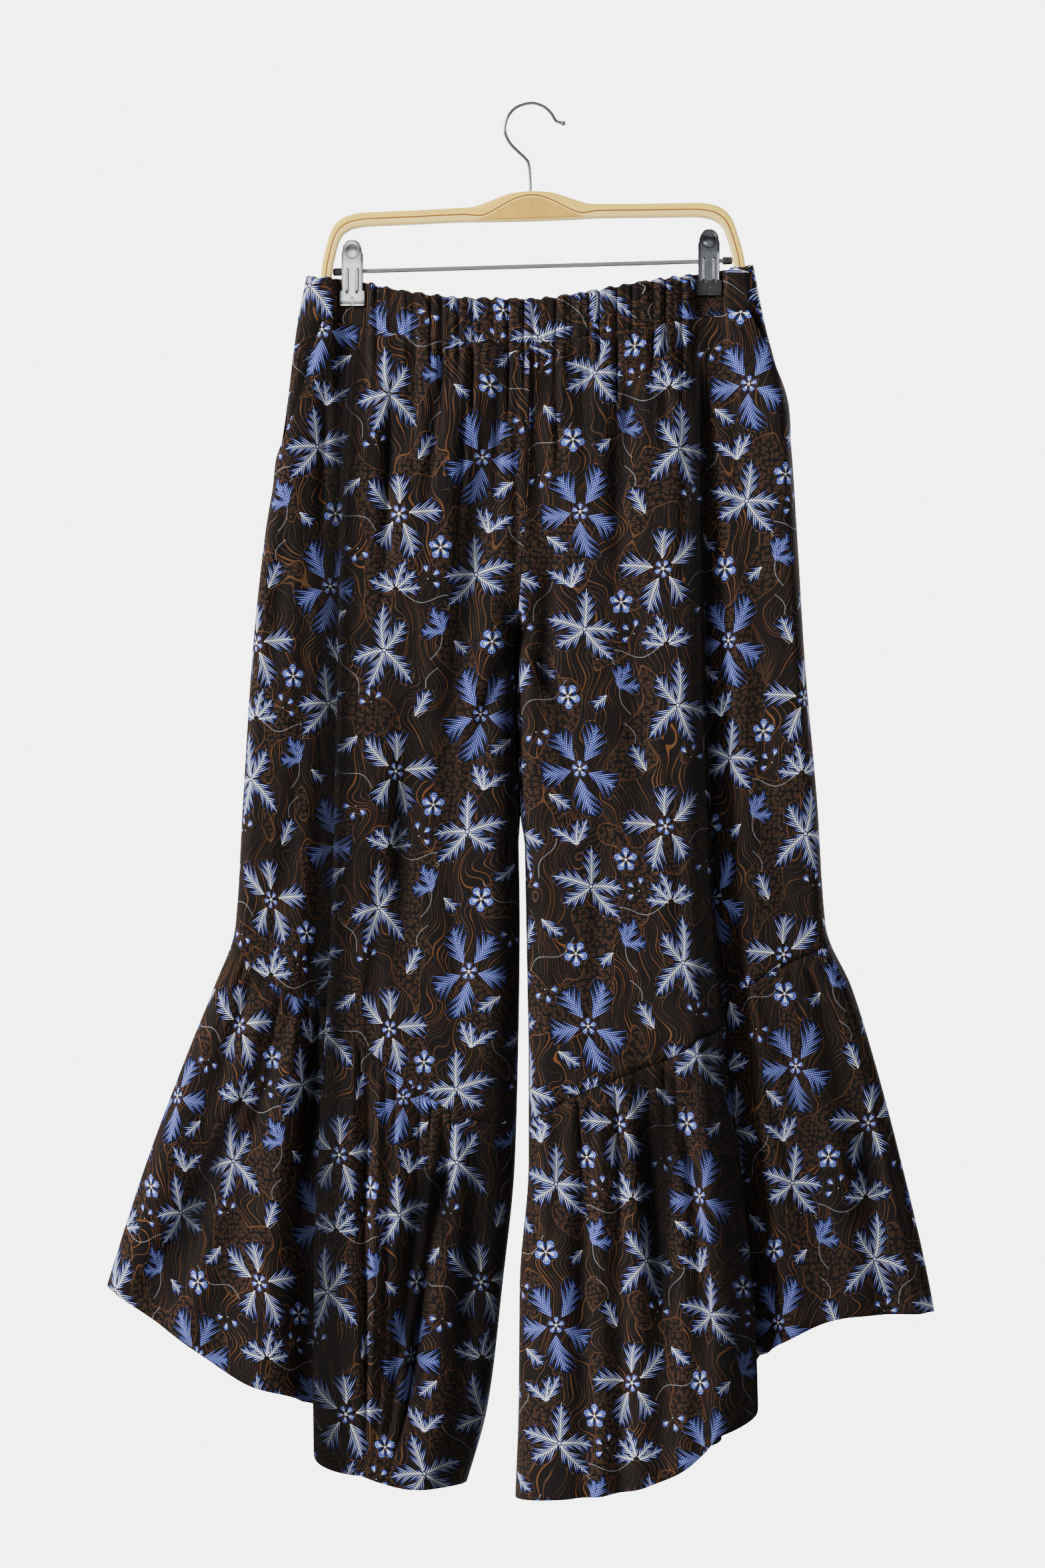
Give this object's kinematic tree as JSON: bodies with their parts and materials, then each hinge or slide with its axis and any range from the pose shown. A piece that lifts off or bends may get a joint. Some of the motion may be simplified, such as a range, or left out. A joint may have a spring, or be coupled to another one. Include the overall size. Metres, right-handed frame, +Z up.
{
  "type": "batik trousers on a clip hanger",
  "caption": "Wide-leg batik trousers with a gathered waist and diagonal gathered flounces, hung flat from a wooden hanger with chromed clips.",
  "frame": {"origin": "inside the crest of the hanger's hook, where a rail or wall hook carries it", "axes": "+Z up, +X to the right as the front is seen, the front faces -Y"},
  "size_m": [0.7451, 0.0897, 1.2548],
  "materials": {
    "batik": "printed plain-weave cotton, matt",
    "pale_wood": "clear satin lacquer over bent laminated wood",
    "tan_wood": "clear satin lacquer",
    "chrome_wire": "bright plated wire",
    "clip_chrome": "bright plated pressed sheet",
    "black_rubber": "matt"
  },
  "bodies": {
    "root": {"waistband_front": "batik", "left_leg_front": "batik", "left_flounce_front": "batik", "right_leg_front": "batik", "right_flounce_front": "batik", "waistband_back": "batik", "left_leg_back": "batik", "left_flounce_back": "batik", "right_leg_back": "batik", "right_flounce_back": "batik", "pocket_facing_left": "batik", "pocket_facing_right": "batik", "hanger_frame": "pale_wood", "hanger_block": "tan_wood", "hanger_rod": "chrome_wire", "hanger_hook": "chrome_wire", "rod_cap_left": "black_rubber", "clip_left_front": "clip_chrome", "clip_left_back": "clip_chrome", "clip_left_barrel": "clip_chrome", "rod_cap_right": "black_rubber", "clip_right_front": "clip_chrome", "clip_right_back": "clip_chrome", "clip_right_barrel": "clip_chrome"}
  },
  "joints": []
}
